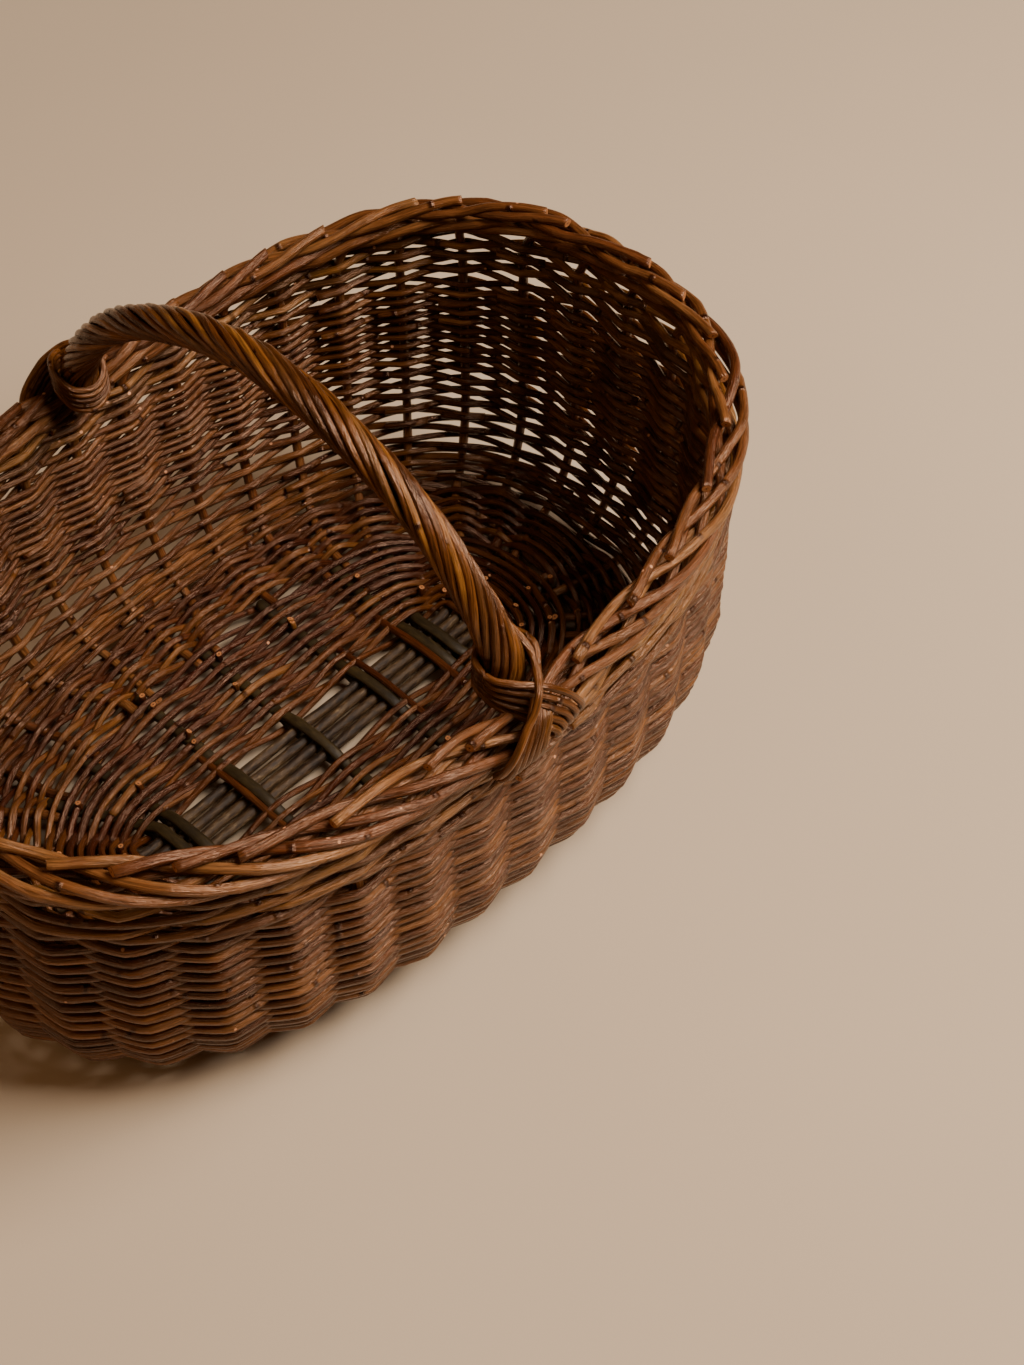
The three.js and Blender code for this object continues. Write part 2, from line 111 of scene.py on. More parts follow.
def wallOut(position, run):               # square to the side, pointing outward
    along = wallPoint(position + 0.05, run) - wallPoint(position - 0.05, run)
    above, below = np.minimum(run + 1, sideLength), np.maximum(run - 1, 0)
    out = np.cross(along, wallPoint(position, above) - wallPoint(position, below))
    return out / np.linalg.norm(out, axis=-1, keepdims=True)


def evenSteps(line, step):
    runs = pathRuns(line)
    stops = np.linspace(0, runs[-1], max(int(round(runs[-1] / step)), 2) + 1)
    return np.stack([np.interp(stops, runs, line[:, i]) for i in range(3)], -1)


def smoothLine(points, step):             # smooth curve through the points, at equal steps
    points = np.asarray(points, float)
    chord = pathRuns(points)
    slope = np.gradient(points, chord, axis=0)
    t = np.linspace(0, chord[-1], max(int(2 * chord[-1] / step), 8))
    k = np.clip(np.searchsorted(chord, t, side="right") - 1, 0, len(points) - 2)
    h = (chord[k + 1] - chord[k])[:, None]
    u = (t - chord[k])[:, None] / h
    line = ((2 * u ** 3 - 3 * u ** 2 + 1) * points[k] + (u ** 3 - 2 * u ** 2 + u) * h * slope[k]
            + (3 * u ** 2 - 2 * u ** 3) * points[k + 1] + (u ** 3 - u ** 2) * h * slope[k + 1])
    return evenSteps(line, step)


# Random drift along a rod: a new value of this size about every so many points, with a
# slight kink there
def wander(count, size, reach):
    knots = rng.normal(0, size, max(int(count / reach), 1) + 3)
    return np.interp(np.linspace(0, len(knots) - 1, count), np.arange(len(knots)), knots)


rod = {
    # a rod swells a little where each bud grew: how far apart, how unevenly, by what share
    # of its thickness and over what length
    "budSpacing": 38, "budUneven": (0.6, 1.5), "budSwell": (0.05, 0.15), "budLength": 2.6,
    # a cut end leans along the rod by up to this share of its radius, and its edge is broken
    "cutSlant": 0.5, "cutRim": 0.3, "cutProud": 0.2,
    "patternShift": 3000,                 # so that no two rods have the same knots and stains
}


def budSwellings(line):
    runs = pathRuns(line)
    swell = np.zeros(len(line))
    at = rng.uniform(0, rod["budSpacing"])
    while at < runs[-1]:
        swell += rng.uniform(*rod["budSwell"]) * np.exp(-((runs - at) / rod["budLength"]) ** 2)
        at += rod["budSpacing"] * rng.uniform(*rod["budUneven"])
    return 1 + swell


def newRods():
    return {"points": [], "place": [], "tone": [], "faces": [], "ends": [], "count": 0}


# Adds one rod along a line, its section turned so that its first axis points away. "place"
# keeps where each point lies on the rod, across it and along it, and "tone" is what makes
# each rod's colour its own. flat is the section's first axis against its second.
def addRod(rods, line, radius, away, sides=8, flat=1.0):
    count = len(line)
    travel = np.gradient(line, axis=0)
    travel /= np.linalg.norm(travel, axis=1, keepdims=True)
    away = np.broadcast_to(np.asarray(away, float), line.shape)
    first = away - (away * travel).sum(1, keepdims=True) * travel
    first /= np.linalg.norm(first, axis=1, keepdims=True)
    second = np.cross(travel, first)
    radius = np.broadcast_to(np.asarray(radius, float), count) * budSwellings(line)
    slant = np.zeros(count)
    slant[0], slant[-1] = rng.uniform(-rod["cutSlant"], rod["cutSlant"], 2)
    phi = 2 * math.pi * (np.arange(sides) + 0.5) / sides
    across, up = radius[:, None] * np.cos(phi), radius[:, None] * np.sin(phi)
    points = (line[:, None] + first[:, None] * (across * flat)[..., None]
              + second[:, None] * up[..., None]
              + travel[:, None] * (slant[:, None] * across)[..., None])
    along = pathRuns(line) + rng.uniform(0, rod["patternShift"])
    along = np.broadcast_to(along[:, None], across.shape)
    tone = rng.uniform(0, 1, 3)

    base = rods["count"]
    start = base + sides * np.arange(count - 1)[:, None]
    here, following = np.arange(sides), (np.arange(sides) + 1) % sides
    quads = np.stack([start + here, start + following,
                      start + sides + following, start + sides + here], -1)
    last = base + sides * (count - 1)
    rods["faces"] += quads.reshape(-1, 4).tolist()
    rods["faces"] += [[base + k for k in reversed(range(sides))], [last + k for k in range(sides)]]
    rods["ends"] += [False] * (sides * (count - 1)) + [True, True]
    rods["points"].append(points.reshape(-1, 3))
    rods["place"].append(np.stack([across, up, along], -1).reshape(-1, 3))
    rods["tone"].append(np.broadcast_to(tone, (count * sides, 3)))
    rods["count"] += count * sides


# Makes one piece of a bundle of rods, then breaks the edge of each cut end and gives it
# bare wood
def finishRods(name, rods, skin, cut, nodes):
    mesh = bpy.data.meshes.new(name)
    mesh.from_pydata((np.concatenate(rods["points"]) * 0.001).tolist(), [], rods["faces"])
    for key, scale in (("place", 0.001), ("tone", 1.0)):
        layer = mesh.attributes.new(key, "FLOAT_VECTOR", "POINT")
        layer.data.foreach_set("vector", (np.concatenate(rods[key]) * scale).ravel())
    mesh.materials.append(skin)
    mesh.materials.append(cut)
    mesh.update()
    piece = bpy.data.objects.new(name, mesh)
    bpy.context.collection.objects.link(piece)
    bpy.ops.object.select_all(action="DESELECT")
    bpy.context.view_layer.objects.active = piece
    piece.select_set(True)
    bpy.ops.object.shade_smooth()
    bpy.ops.object.mode_set(mode="EDIT")
    bpy.ops.mesh.select_mode(type="FACE")
    bpy.ops.mesh.select_all(action="DESELECT")
    bpy.ops.object.mode_set(mode="OBJECT")
    mesh.polygons.foreach_set("select", rods["ends"])
    bpy.ops.object.mode_set(mode="EDIT")
    bpy.ops.mesh.inset(thickness=0.001 * rod["cutRim"], depth=0.001 * rod["cutProud"],
                       use_individual=True)
    piece.active_material_index = 1
    bpy.ops.object.material_slot_assign()
    bpy.ops.mesh.faces_shade_flat()
    bpy.ops.object.mode_set(mode="OBJECT")
    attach(piece, "root")
    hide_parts(*nodes)
    print(name, len(mesh.polygons), "faces")


def linearColour(code):                   # sRGB hex to the linear colour that a socket takes
    parts = [int(code[i:i + 2], 16) / 255 for i in (1, 3, 5)]
    return [*(v / 12.92 if v <= 0.04045 else ((v + 0.055) / 1.055) ** 2.4 for v in parts), 1]


# Adds a node. A setting or link goes to a socket by name, or by number where sockets share
# a name: on a Mix node 0 is the factor and, for colours, 6 and 7 are mixed and 2 comes out.
def addNode(tree, kind, settings=None, links=None):
    item = tree.nodes.new(kind)
    for key, value in (settings or {}).items():
        if key == "stops":                # of a colour ramp, from its low end up
            for i, (spot, code) in enumerate(value):
                ramp = item.color_ramp.elements
                stop = ramp[i] if i < 2 else ramp.new(spot)
                stop.position, stop.color = spot, linearColour(code)
        elif isinstance(key, str) and hasattr(item, key):
            setattr(item, key, value)
        else:
            item.inputs[key].default_value = value
    for key, (source, socket) in (links or {}).items():
        tree.links.new(source.outputs[socket], item.inputs[key])
    return item


def startMaterial(name):
    material = bpy.data.materials.new(name)
    material.use_nodes = True
    material.node_tree.nodes.clear()
    return material, material.node_tree


peeled = {
    # patterns per metre: wrinkles 1 mm apart, coarser than real ones so that they show, and
    # stains 3 mm wide, both drawn out 17 times along the rod, and patches 20 mm long
    "wrinkles": 1050, "stains": 330, "drawnOut": 0.06, "patches": 50,
    # a knot every 38 mm or so, up to 4 mm long, and now and then a scar up to 2 mm wide
    "knots": 26, "knotEdge": (0.015, 0.05), "scars": 60, "scarEdge": (0.04, 0.062),
    "knotColour": "#2A0D04", "scarColour": "#DDA27A", "sheenTint": "#F7CDB0",
}


# Boiled willow: rods boiled in their bark and then peeled, so that tannin stains them from
# golden to red brown. The skin is smooth and shines like polished wood, and has shrunk into
# fine lines along the rod. It has dark bud knots, and pale scars where a bud was rubbed off.
def boiledWillow(name, look):
    material, tree = startMaterial(name)
    place = addNode(tree, "ShaderNodeAttribute", {"attribute_name": "place"})
    tone = addNode(tree, "ShaderNodeAttribute", {"attribute_name": "tone"})
    tones = addNode(tree, "ShaderNodeSeparateXYZ", links={0: (tone, "Vector")})
    drawn = addNode(tree, "ShaderNodeMapping", {"Scale": (1, 1, peeled["drawnOut"])},
                    {"Vector": (place, "Vector")})
    lines = addNode(tree, "ShaderNodeTexNoise",
                    {"Scale": peeled["wrinkles"], "Detail": 3, "Roughness": 0.65}, {"Vector": (drawn, 0)})
    stain = addNode(tree, "ShaderNodeTexNoise",
                    {"Scale": peeled["stains"], "Detail": 2, "Roughness": 0.5}, {"Vector": (drawn, 0)})
    patch = addNode(tree, "ShaderNodeTexNoise",
                    {"Scale": peeled["patches"], "Detail": 3, "Roughness": 0.6},
                    {"Vector": (place, "Vector")})
    # the rod's own tone, with patches and long stains
    patched = addNode(tree, "ShaderNodeMath", {"operation": "MULTIPLY_ADD", 1: look["patches"]},
                      {0: (patch, 0), 2: (tones, 0)})
    stained = addNode(tree, "ShaderNodeMath", {"operation": "MULTIPLY_ADD", 1: look["stains"]},
                      {0: (stain, 0), 2: (patched, 0)})
    middle = 0.5 * (look["patches"] + look["stains"])
    shade = addNode(tree, "ShaderNodeMapRange", {"From Min": middle - 0.1, "From Max": middle + 1.1},
                    {"Value": (stained, 0)})
    colours = addNode(tree, "ShaderNodeValToRGB", {"stops": look["colours"]}, {0: (shade, 0)})
    # some rods keep a cast of their own
    cast = addNode(tree, "ShaderNodeMapRange", {"From Min": 0.6, "From Max": 1.0, "To Max": look["cast"]},
                   {"Value": (tones, 1)})
    casted = addNode(tree, "ShaderNodeMix", {"data_type": "RGBA", 7: linearColour(look["castColour"])},
                     {0: (cast, 0), 6: (colours, 0)})
    # painted light along the wrinkles: painted shade darkens the colour in their grooves, down to the
    # look's given share, and a painted highlight lightens it by up to 16% on their ridges
    paintedWrinkleLight = addNode(tree, "ShaderNodeMapRange",
                     {"From Min": 0.36, "From Max": 0.62, "To Min": look["paintedWrinkleLight"], "To Max": 1.16},
                     {"Value": (lines, 0)})
    withPaintedWrinkleLight = addNode(tree, "ShaderNodeMix", {"data_type": "RGBA", "blend_type": "MULTIPLY", 0: 1.0},
                      {6: (casted, 2), 7: (paintedWrinkleLight, 0)})
    # a dark knot on one side of the rod where a bud grew
    places = addNode(tree, "ShaderNodeSeparateXYZ", links={0: (place, "Vector")})
    joints = addNode(tree, "ShaderNodeTexVoronoi",
                     {"voronoi_dimensions": "1D", "Scale": peeled["knots"], "Randomness": 1.0},
                     {"W": (places, 2)})
    near, far = peeled["knotEdge"]
    ring = addNode(tree, "ShaderNodeMapRange",
                   {"From Min": near, "From Max": far, "To Min": 1.0, "To Max": 0.0},
                   {"Value": (joints, "Distance")})
    side = addNode(tree, "ShaderNodeVectorMath",
                   {"operation": "MULTIPLY_ADD", 1: (1, 1, 0), 2: (-0.5, -0.5, 0)},
                   {0: (joints, "Color")})
    facing = addNode(tree, "ShaderNodeVectorMath", {"operation": "DOT_PRODUCT"},
                     {0: (side, 0), 1: (place, "Vector")})
    onSide = addNode(tree, "ShaderNodeMapRange", {"From Min": 0.0002, "From Max": 0.0007},
                     {"Value": (facing, "Value")})
    knot = addNode(tree, "ShaderNodeMath", {"operation": "MULTIPLY"}, {0: (ring, 0), 1: (onSide, 0)})
    knotted = addNode(tree, "ShaderNodeMix",
                      {"data_type": "RGBA", 7: linearColour(peeled["knotColour"])},
                      {0: (knot, 0), 6: (withPaintedWrinkleLight, 2)})
    scars = addNode(tree, "ShaderNodeTexVoronoi", {"Scale": peeled["scars"], "Randomness": 1.0},
                    {"Vector": (place, "Vector")})
    near, far = peeled["scarEdge"]
    scar = addNode(tree, "ShaderNodeMapRange",
                   {"From Min": near, "From Max": far, "To Min": 1.0, "To Max": 0.0},
                   {"Value": (scars, "Distance")})
    scarred = addNode(tree, "ShaderNodeMix",
                      {"data_type": "RGBA", 7: linearColour(peeled["scarColour"])},
                      {0: (scar, 0), 6: (knotted, 2)})
    # the shine varies with the stains, and wrinkles and knots are felt
    smooth, dull = look["rough"]
    gloss = addNode(tree, "ShaderNodeMapRange",
                    {"From Min": 0.3, "From Max": 0.7, "To Min": smooth, "To Max": dull},
                    {"Value": (stain, 0)})
    height = addNode(tree, "ShaderNodeMath", {"operation": "MULTIPLY_ADD", 1: 0.6},
                     {0: (knot, 0), 2: (lines, 0)})
    relief = addNode(tree, "ShaderNodeBump", {"Strength": 1.0, "Distance": 0.001},
                     {"Height": (height, 0)})
    skin = addNode(tree, "ShaderNodeBsdfPrincipled",
                   {"IOR": 1.47, "Specular IOR Level": look["shine"],
                    "Specular Tint": linearColour(peeled["sheenTint"])},
                   {"Base Color": (scarred, 2), "Roughness": (gloss, 0), "Normal": (relief, 0)})
    addNode(tree, "ShaderNodeOutputMaterial", links={"Surface": (skin, 0)})
    return material


# Cut willow: bare pale wood where a rod was cut off, with a dot of brown pith 1 mm wide in
# its middle. The grain is drawn 0.7 mm apart, coarser than the real one so that it shows.
def cutWood(name, look):
    material, tree = startMaterial(name)
    place = addNode(tree, "ShaderNodeAttribute", {"attribute_name": "place"})
    flat = addNode(tree, "ShaderNodeMapping", {"Scale": (1, 1, 0)}, {"Vector": (place, "Vector")})
    middle = addNode(tree, "ShaderNodeVectorMath", {"operation": "LENGTH"}, {0: (flat, 0)})
    grain = addNode(tree, "ShaderNodeTexNoise", {"Scale": 1500, "Detail": 3},
                    {"Vector": (place, "Vector")})
    colours = addNode(tree, "ShaderNodeValToRGB", {"stops": look["colours"]}, {0: (grain, 0)})
    pith = addNode(tree, "ShaderNodeMapRange",
                   {"From Min": 0.0003, "From Max": 0.0006, "To Min": 1.0, "To Max": 0.0},
                   {"Value": (middle, "Value")})
    dotted = addNode(tree, "ShaderNodeMix", {"data_type": "RGBA", 7: linearColour(look["pith"])},
                     {0: (pith, 0), 6: (colours, 0)})
    relief = addNode(tree, "ShaderNodeBump", {"Strength": 0.5, "Distance": 0.0002},
                     {"Height": (grain, 0)})
    skin = addNode(tree, "ShaderNodeBsdfPrincipled", {"IOR": 1.45, "Roughness": 0.75},
                   {"Base Color": (dotted, 2), "Normal": (relief, 0)})
    addNode(tree, "ShaderNodeOutputMaterial", links={"Surface": (skin, 0)})
    return material


# Stick in its bark: dull grey to olive skin, rough to the touch, with cracks 2 mm apart
# along it and patches 11 mm wide, both drawn out 3 times
def barkStick(name, look):
    material, tree = startMaterial(name)
    place = addNode(tree, "ShaderNodeAttribute", {"attribute_name": "place"})
    drawn = addNode(tree, "ShaderNodeMapping", {"Scale": (1, 1, 0.3)}, {"Vector": (place, "Vector")})
    rough = addNode(tree, "ShaderNodeTexNoise",
                    {"Scale": look["scale"], "Detail": 6, "Roughness": 0.7}, {"Vector": (drawn, 0)})
    patch = addNode(tree, "ShaderNodeTexNoise", {"Scale": 90, "Detail": 3}, {"Vector": (drawn, 0)})
    both = addNode(tree, "ShaderNodeMix", {"data_type": "FLOAT", 0: 0.4}, {2: (rough, 0), 3: (patch, 0)})
    colours = addNode(tree, "ShaderNodeValToRGB", {"stops": look["colours"]}, {0: (both, 0)})
    relief = addNode(tree, "ShaderNodeBump", {"Strength": look["relief"], "Distance": 0.0008},
                     {"Height": (rough, 0)})
    skin = addNode(tree, "ShaderNodeBsdfPrincipled", {"IOR": 1.45, "Roughness": look["rough"]},
                   {"Base Color": (colours, 0), "Normal": (relief, 0)})
    addNode(tree, "ShaderNodeOutputMaterial", links={"Surface": (skin, 0)})
    return material


# each look also sets how far the painted shade in the grooves of the wrinkles darkens the colour
stakeWillow = boiledWillow("boiledWillowThick", {
    "colours": [(0.0, "#482614"), (0.35, "#65391C"), (0.7, "#7C4D28"), (1.0, "#956639")],
    "patches": 0.9, "stains": 0.8, "cast": 0.4, "castColour": "#602D16",
    "paintedWrinkleLight": 0.5, "rough": (0.16, 0.32), "shine": 1.0})
sideWillow = boiledWillow("boiledWillowFine", {
    "colours": [(0.0, "#3A1B0C"), (0.35, "#512B12"), (0.7, "#683D1A"), (1.0, "#83532A")],
    "patches": 0.8, "stains": 0.7, "cast": 0.4, "castColour": "#53250F",
    "paintedWrinkleLight": 0.48, "rough": (0.16, 0.32), "shine": 1.0})
waleWillow = boiledWillow("boiledWillowWale", {
    "colours": [(0.0, "#42210F"), (0.4, "#5E3717"), (0.75, "#764A20"), (1.0, "#91632F")],
    "patches": 0.8, "stains": 0.7, "cast": 0.4, "castColour": "#553B1D",
    "paintedWrinkleLight": 0.5, "rough": (0.16, 0.32), "shine": 1.0})
floorWillow = boiledWillow("boiledWillowFloor", {
    "colours": [(0.0, "#32130A"), (0.4, "#49230F"), (0.75, "#633816"), (1.0, "#815224")],
    "patches": 0.8, "stains": 0.7, "cast": 0.4, "castColour": "#541F0C",
    "paintedWrinkleLight": 0.55, "rough": (0.2, 0.36), "shine": 0.9})
handleWillow = boiledWillow("boiledWillowHandle", {
    "colours": [(0.0, "#41200D"), (0.35, "#613716"), (0.7, "#7C4B1F"), (1.0, "#95622D")],
    "patches": 0.7, "stains": 1.0, "cast": 0.5, "castColour": "#4C3820",
    "paintedWrinkleLight": 0.42, "rough": (0.15, 0.3), "shine": 1.0})
cutWillow = cutWood("cutWillow", {
    "colours": [(0.3, "#8E5024"), (0.5, "#B4743F"), (0.75, "#D39C6C")], "pith": "#4A220C"})
cutBark = cutWood("cutStick", {
    "colours": [(0.3, "#6B5433"), (0.5, "#8C7148"), (0.75, "#A98D62")], "pith": "#3A2A16"})
greyBark = barkStick("greyBark", {
    "colours": [(0.36, "#110903"), (0.46, "#302010"), (0.56, "#503B22"), (0.66, "#857052")],
    "scale": 520, "relief": 1.0, "rough": 0.5})
oliveBark = barkStick("oliveBark", {
    "colours": [(0.32, "#171004"), (0.5, "#2F2410"), (0.7, "#4A3B1C")],
    "scale": 500, "relief": 0.5, "rough": 0.45})
print("materials ready")

# Slath: four long sticks threaded through split cross sticks, which the floor starts from
slath = {
    "x": -4.5, "y": -2.5,                 # it lies a little off the middle of the floor
    "longSticks": 4, "stickRadius": 2.7, "stickPitch": 7.2, "margin": 2.5, "endReach": 18,
    "stickWave": 0.3,                     # of the long sticks, from side to side
    # cross sticks: which place each has, the two at each end as a pair, and its shift there
    "crossPitch": 45, "pairPitch": 9, "places": [-2, -2, -1, 0, 1, 2, 2],
    "shifts": [-0.5, 0.5, 0, 0, 0, -0.5, 0.5],
    # how far each stick fans out beyond the slath, for each step straight away from it
    "crossFan": [-0.52, -0.1, 0, 0, 0, 0.1, 0.52], "longFan": [-0.95, -0.27, 0.27, 0.95],
    # halves of a cross stick: how far above and below the long sticks, over their middle and
    # at their edge, then where the halves meet again beyond them, and their rise to the tip
    "splitRadius": 3.2, "splitFlat": 0.55, "splitRise": 2.1, "splitHalf": 7, "edgeInset": 3,
    "edgeShare": 0.85, "meetAt": 6.0, "meetRise": 1.4, "tipRise": 1.3,
    # brown rods laid beside some cross sticks: which stick, how far along the slath, radius,
    # and how they lie across the slath: sideways, and above the floor
    "besideRods": [(2, -5.4, 2.0), (4, 5.4, 2.0), (5, -5.2, 2.2)],
    "besidePath": [(-34, 3), (-20, 4), (-8, 5.2), (8, 5.2), (20, 4), (34, 3)],
}
crossCount = len(slath["places"])
slathHalfWidth = slath["longSticks"] * slath["stickPitch"] / 2 + slath["margin"]
crossX = [place * slath["crossPitch"] + shift * slath["pairPitch"]
          for place, shift in zip(slath["places"], slath["shifts"])]
longY = [(i - 1.5) * slath["stickPitch"] for i in range(slath["longSticks"])]
slathHalfLength = crossX[-1] + slath["endReach"]


# A stick beyond the slath: where it leaves it, its direction, and its reach, which is found
# by halving and ends at the floor's edge
def spoke(x, y, dx, dy):
    start, direction = np.array([x, y]), np.array([dx, dy]) / math.hypot(dx, dy)
    floorHalf = (basket["halfLength"] - basket["floorInset"], basket["halfWidth"] - basket["floorInset"])
    near, far = 0.0, float(basket["halfLength"])
    while far - near > 0.01:
        middle = (near + far) / 2
        px = abs(start[0] + middle * direction[0] + slath["x"]) / floorHalf[0]
        py = abs(start[1] + middle * direction[1] + slath["y"]) / floorHalf[1]
        inside = px ** basket["ovalPower"] + py ** basket["ovalPower"] < 1
        near, far = (middle, far) if inside else (near, middle)
    return {"start": start, "direction": direction, "reach": near}


def onSpoke(one, distance, rise=0.0):
    plan = one["start"] + np.asarray(distance)[..., None] * one["direction"]
    x, y = plan[..., 0] + slath["x"], plan[..., 1] + slath["y"]
    return np.stack([x, y, basket["floorLevel"] + rise + 0 * x], -1)


def acrossSlath(i, y, rise):              # straight over or below the long sticks
    return np.array([crossX[i] + slath["x"], y + slath["y"], basket["floorLevel"] + rise])


crossSpokes = {(i, s): spoke(crossX[i], s * slathHalfWidth, slath["crossFan"][i], s)
               for i in range(crossCount) for s in (-1, 1)}
longSpokes = {(i, s): spoke(s * slathHalfLength, longY[i], s, slath["longFan"][i])
              for i in range(slath["longSticks"]) for s in (-1, 1)}
# all of them in order round the floor, and which of them are woven as one
spokes = ([crossSpokes[i, 1] for i in (2, 3, 4, 5, 6)] + [longSpokes[i, 1] for i in (3, 2, 1, 0)]
          + [crossSpokes[i, -1] for i in (6, 5, 4, 3, 2, 1, 0)]
          + [longSpokes[i, -1] for i in (0, 1, 2, 3)] + [crossSpokes[i, 1] for i in (0, 1)])
spokeGroups = [0, 1, 2, 3, 3, 4, 4, 4, 4, 5, 5, 6, 7, 8, 9, 9, 10, 10, 10, 10, 11, 11]

longSticks = newRods()
for i in range(slath["longSticks"]):
    left, right = longSpokes[i, -1], longSpokes[i, 1]
    middle = np.linspace(onSpoke(left, 0.0), onSpoke(right, 0.0), 9)
    middle = middle + rng.normal(0, slath["stickWave"], (9, 1)) * np.array([0, 1, 0])
    line = np.vstack([onSpoke(left, left["reach"]), middle, onSpoke(right, right["reach"])])
    line = smoothLine(line, 2.5)
    radius = slath["stickRadius"] * (1.03 + wander(len(line), 0.02, 5)) + wander(len(line), 0.07, 2)
    addRod(longSticks, line, radius, (0, 0, 1), 16)
finishRods("longSticks", longSticks, greyBark, cutBark,
           [f"long_stick_{i + 1}" for i in range(slath["longSticks"])])

crossSticks = newRods()
for i in range(crossCount):
    near, far = crossSpokes[i, -1], crossSpokes[i, 1]
    for side in (1, -1):                  # one half goes over the long sticks, one below
        lift = side * (slath["stickRadius"] + slath["splitRise"])
        edge, half = slathHalfWidth - slath["edgeInset"], slath["splitHalf"]
        meet, tip = side * slath["meetRise"], side * slath["tipRise"]
        line = smoothLine([
            onSpoke(near, near["reach"], tip), onSpoke(near, slath["meetAt"], meet),
            acrossSlath(i, -edge, slath["edgeShare"] * lift), acrossSlath(i, -half, lift),
            acrossSlath(i, half, lift), acrossSlath(i, edge, slath["edgeShare"] * lift),
            onSpoke(far, slath["meetAt"], meet), onSpoke(far, far["reach"], tip)], 3)
        radius = slath["splitRadius"] * (1 + wander(len(line), 0.03, 5))
        addRod(crossSticks, line, radius, (0, 0, 1), 16, slath["splitFlat"])
finishRods("crossSticks", crossSticks, oliveBark, cutBark,
           [f"cross_stick_{i + 1}" for i in range(crossCount)])

# Stakes: pushed in beside the spokes, up the side and laid down into the border
stakes = {
    "wallRadius": 2.6, "borderRadius": 2.5, "size": (0.93, 1.08), "tuck": 9, "beside": 6.6,
    "blendBelow": 22, "blendOver": 12,    # where the radius goes over into the border's
    # stakes passed, then outward and upward from the border's centre line: behind one stake,
    # in front of the next two, in below the top, up the inner side and out over the top
    "border": [[0.1, 0, -11], [0.5, -4.2, -7.4], [1.1, -6, -3.6], [1.6, -4.2, -2.8],
               [2.1, 0.4, -5.4], [2.6, 5, -7.2], [3.2, 7.8, -5.6], [3.9, 8.3, -1.5],
               [4.4, 6.4, 2.0], [4.9, 1.5, 2.5], [5.4, -4.2, 2.3], [5.9, -6.4, 4.5],
               [6.4, -4.1, 7.0], [6.9, -0.4, 7.8], [7.35, 2.6, 6.8]],
    # how uneven that is: along the border in stakes, outward and upward
    "unevenAlong": 0.07, "unevenOut": 0.3, "unevenUp": 0.35,
    "trim": 22, "step": 2.8,              # the tips are cut off by up to this much
    # the feet of the handle press the border outward and down, round this place along it
    "pressedAt": -6, "pressedReach": 24, "pressedOut": 3.4, "pressedDown": 4.5,
}
stakeFeet = [wallPoint(i, 0.0) for i in range(stakeCount)]


def bearing(point):
    return math.atan2(point[1], point[0])


# places beside the spokes, in order round the floor, each taken by the nearest stake
places = []
for one in spokes:
    for hand in (-1, 1):
        aside = hand * stakes["beside"] * np.array([-one["direction"][1], one["direction"][0], 0])
        places.append((onSpoke(one, one["reach"] - stakes["tuck"]) + aside,
                       onSpoke(one, one["reach"]) + aside))
firstBearing = bearing(stakeFeet[0]) - math.pi / len(places)
places.sort(key=lambda pair: (bearing(pair[1]) - firstBearing) % (2 * math.pi))
stakePlaces = []
free = 0
for i, foot in enumerate(stakeFeet):
    last = len(places) - (stakeCount - i)
    best = min(range(free, last + 1), key=lambda j: np.linalg.norm(places[j][1] - foot))
    stakePlaces.append(places[best])
    free = best + 1


def borderPoint(position, outward, upward):
    angle = angleAt(position)
    at = ovalPoint(angle, 0, basket["borderHeight"] + borderRise(angle))
    pressed = math.exp(-((at[0] - stakes["pressedAt"]) / stakes["pressedReach"]) ** 2)
    outward, upward = outward + stakes["pressedOut"] * pressed, upward - stakes["pressedDown"] * pressed
    along = ovalPoint(angle + 0.002, 0, 0) - ovalPoint(angle - 0.002, 0, 0)
    out = np.cross(along, (0, 0, 1))
    return at + outward * out / np.linalg.norm(out) + upward * np.array([0, 0, 1])


stakeRods = newRods()
for i in range(stakeCount):
    wall = wallPoint(np.full(14, float(i)), np.linspace(0, sideLength, 14))
    shift = stakes["unevenAlong"] * rng.normal()
    laid = [borderPoint(i - passed + shift, out + stakes["unevenOut"] * rng.normal(),
                        up + stakes["unevenUp"] * rng.normal())
            for passed, out, up in stakes["border"]]
    line = smoothLine(np.vstack([*stakePlaces[i], wall[:-1], laid]), stakes["step"])
    line = line[:len(line) - int(rng.uniform(0, stakes["trim"]) / stakes["step"])]
    inBorder = (line[:, 2] - basket["borderHeight"] + stakes["blendBelow"]) / stakes["blendOver"]
    inBorder = np.clip(inBorder, 0, 1)
    radius = stakes["wallRadius"] + (stakes["borderRadius"] - stakes["wallRadius"]) * inBorder
    radius = radius * rng.uniform(*stakes["size"]) * (1 + wander(len(line), 0.02, 6))
    away = np.column_stack([line[:, :2], np.full(len(line), 60.0)])
    addRod(stakeRods, line, radius, away, 12)
finishRods("stakes", stakeRods, stakeWillow, cutWillow,
           [f"stake_{i + 1:02d}" for i in range(stakeCount)])

